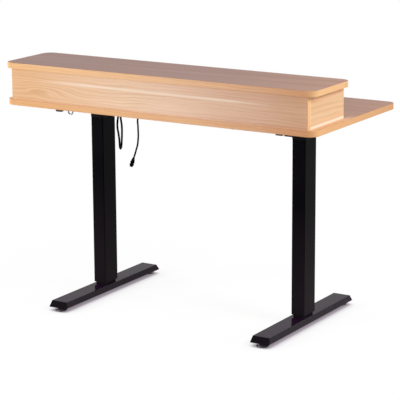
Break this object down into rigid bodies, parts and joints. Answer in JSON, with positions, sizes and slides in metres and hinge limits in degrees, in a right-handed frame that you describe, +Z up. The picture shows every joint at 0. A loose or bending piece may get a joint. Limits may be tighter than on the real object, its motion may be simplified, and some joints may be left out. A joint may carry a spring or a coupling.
{
  "type": "computer desk",
  "caption": "Electric height-adjustable desk on two telescopic columns and long feet, with a closed-back shelf along the worktop's rear edge.",
  "frame": {"origin": "on the floor, under the middle of the desk's overall box without its cords", "axes": "+X is the user's right, the user sits on the -Y side, +Y points to the rear with the shelf's closed back, +Z is up"},
  "size_m": [1.208, 0.614, 0.87],
  "materials": {
    "board": "wood-decor laminate, satin",
    "edging": "beech-decor edging, satin",
    "panel": "beech-decor laminate, satin",
    "black_steel": "black powder coat, satin",
    "housing": "black painted casting",
    "zinc": "zinc-plated steel",
    "black_plastic": "black moulded plastic",
    "face": "black gloss face",
    "display": "dark display window",
    "button": "dark grey moulded plastic",
    "pad": "black moulded plastic pad",
    "motor": "black painted steel can",
    "brass": "machined brass",
    "dowel": "beech dowel",
    "cable": "black cable sheath",
    "chrome": "polished chrome wire"
  },
  "bodies": {
    "leg_left": {"inner_tube_left": "black_steel", "foot_left": "black_steel", "foot_bolts_left": "zinc", "glide_block_left": "black_plastic", "spindle_nut_left": "brass"},
    "desk_top": {"worktop": "board", "shelf_board": "board", "worktop_edging": "edging", "shelf_edging": "edging", "back_panel": "panel", "side_panel_right": "panel", "side_panel_left": "panel", "bracket_right": "black_steel", "bracket_left": "black_steel", "rail_front": "black_steel", "rail_rear": "black_steel", "outer_tube_right": "black_steel", "outer_tube_left": "black_steel", "gear_housing_right": "housing", "gear_housing_left": "housing", "shelf_screws": "zinc", "bracket_screws": "zinc", "rail_bolts": "zinc", "control_screws": "zinc", "glide_sleeve_right": "black_plastic", "glide_sleeve_left": "black_plastic", "control_box": "black_plastic", "cable_glands": "black_plastic", "cable_clips": "black_plastic", "handset": "black_plastic", "supply_connector": "black_plastic", "handset_face": "face", "handset_display": "display", "motor": "motor", "shelf_dowels": "dowel", "motor_cable": "cable", "supply_lead": "cable", "bag_hook": "chrome"},
    "leg_right": {"inner_tube_right": "black_steel", "foot_right": "black_steel", "foot_bolts_right": "zinc", "glide_block_right": "black_plastic", "spindle_nut_right": "brass"},
    "spindle_left": {"spindle_left": "zinc"},
    "spindle_right": {"spindle_right": "zinc"},
    "cross_shaft": {"cross_shaft": "zinc", "coupler_right": "zinc", "coupler_left": "zinc"},
    "leveler_right_front": {"leveler_right_front": "pad"},
    "leveler_right_rear": {"leveler_right_rear": "pad"},
    "leveler_left_front": {"leveler_left_front": "pad"},
    "leveler_left_rear": {"leveler_left_rear": "pad"},
    "button_up": {"button_up": "button"},
    "button_down": {"button_down": "button"},
    "button_one": {"button_one": "button"},
    "button_two": {"button_two": "button"},
    "button_three": {"button_three": "button"},
    "button_set": {"button_set": "button"}
  },
  "joints": [
    {"name": "lift", "type": "slide", "parent": "leg_left", "child": "desk_top", "axis": [0, 0, 1], "range_m": [0, 0.45]},
    {"name": "leg_right_slide", "type": "slide", "parent": "desk_top", "child": "leg_right", "axis": [0, 0, -1], "range_m": [0, 0.45]},
    {"name": "spindle_left_spin", "type": "hinge", "parent": "desk_top", "child": "spindle_left", "pos_m": [-0.406, -0.003, 0.69], "axis": [0, 0, 1], "range_deg": [0, 10130]},
    {"name": "spindle_right_spin", "type": "hinge", "parent": "desk_top", "child": "spindle_right", "pos_m": [0.406, -0.003, 0.69], "axis": [0, 0, 1], "range_deg": [0, 10130]},
    {"name": "cross_shaft_spin", "type": "hinge", "parent": "desk_top", "child": "cross_shaft", "pos_m": [0, 0.019, 0.697], "axis": [1, 0, 0], "range_deg": [0, 10130]},
    {"name": "leveler_right_front_screw", "type": "slide", "parent": "leg_right", "child": "leveler_right_front", "axis": [0, 0, -1], "range_m": [-0.004, 0.008]},
    {"name": "leveler_right_rear_screw", "type": "slide", "parent": "leg_right", "child": "leveler_right_rear", "axis": [0, 0, -1], "range_m": [-0.004, 0.008]},
    {"name": "leveler_left_front_screw", "type": "slide", "parent": "leg_left", "child": "leveler_left_front", "axis": [0, 0, -1], "range_m": [-0.004, 0.008]},
    {"name": "leveler_left_rear_screw", "type": "slide", "parent": "leg_left", "child": "leveler_left_rear", "axis": [0, 0, -1], "range_m": [-0.004, 0.008]},
    {"name": "button_up_press", "type": "slide", "parent": "desk_top", "child": "button_up", "axis": [0, 1, 0], "range_m": [0, 0.0008], "stiffness_N_per_m": 1000, "springref_m": -0.0008},
    {"name": "button_down_press", "type": "slide", "parent": "desk_top", "child": "button_down", "axis": [0, 1, 0], "range_m": [0, 0.0008], "stiffness_N_per_m": 1000, "springref_m": -0.0008},
    {"name": "button_one_press", "type": "slide", "parent": "desk_top", "child": "button_one", "axis": [0, 1, 0], "range_m": [0, 0.0008], "stiffness_N_per_m": 1000, "springref_m": -0.0008},
    {"name": "button_two_press", "type": "slide", "parent": "desk_top", "child": "button_two", "axis": [0, 1, 0], "range_m": [0, 0.0008], "stiffness_N_per_m": 1000, "springref_m": -0.0008},
    {"name": "button_three_press", "type": "slide", "parent": "desk_top", "child": "button_three", "axis": [0, 1, 0], "range_m": [0, 0.0008], "stiffness_N_per_m": 1000, "springref_m": -0.0008},
    {"name": "button_set_press", "type": "slide", "parent": "desk_top", "child": "button_set", "axis": [0, 1, 0], "range_m": [0, 0.0008], "stiffness_N_per_m": 1000, "springref_m": -0.0008}
  ],
  "couplings": [
    {"joint": "leg_right_slide", "follows": "lift", "ratio": 1},
    {"joint": "spindle_left_spin", "follows": "lift", "rad_per_m": 392.7},
    {"joint": "spindle_right_spin", "follows": "lift", "rad_per_m": 392.7},
    {"joint": "cross_shaft_spin", "follows": "lift", "rad_per_m": 392.7}
  ]
}
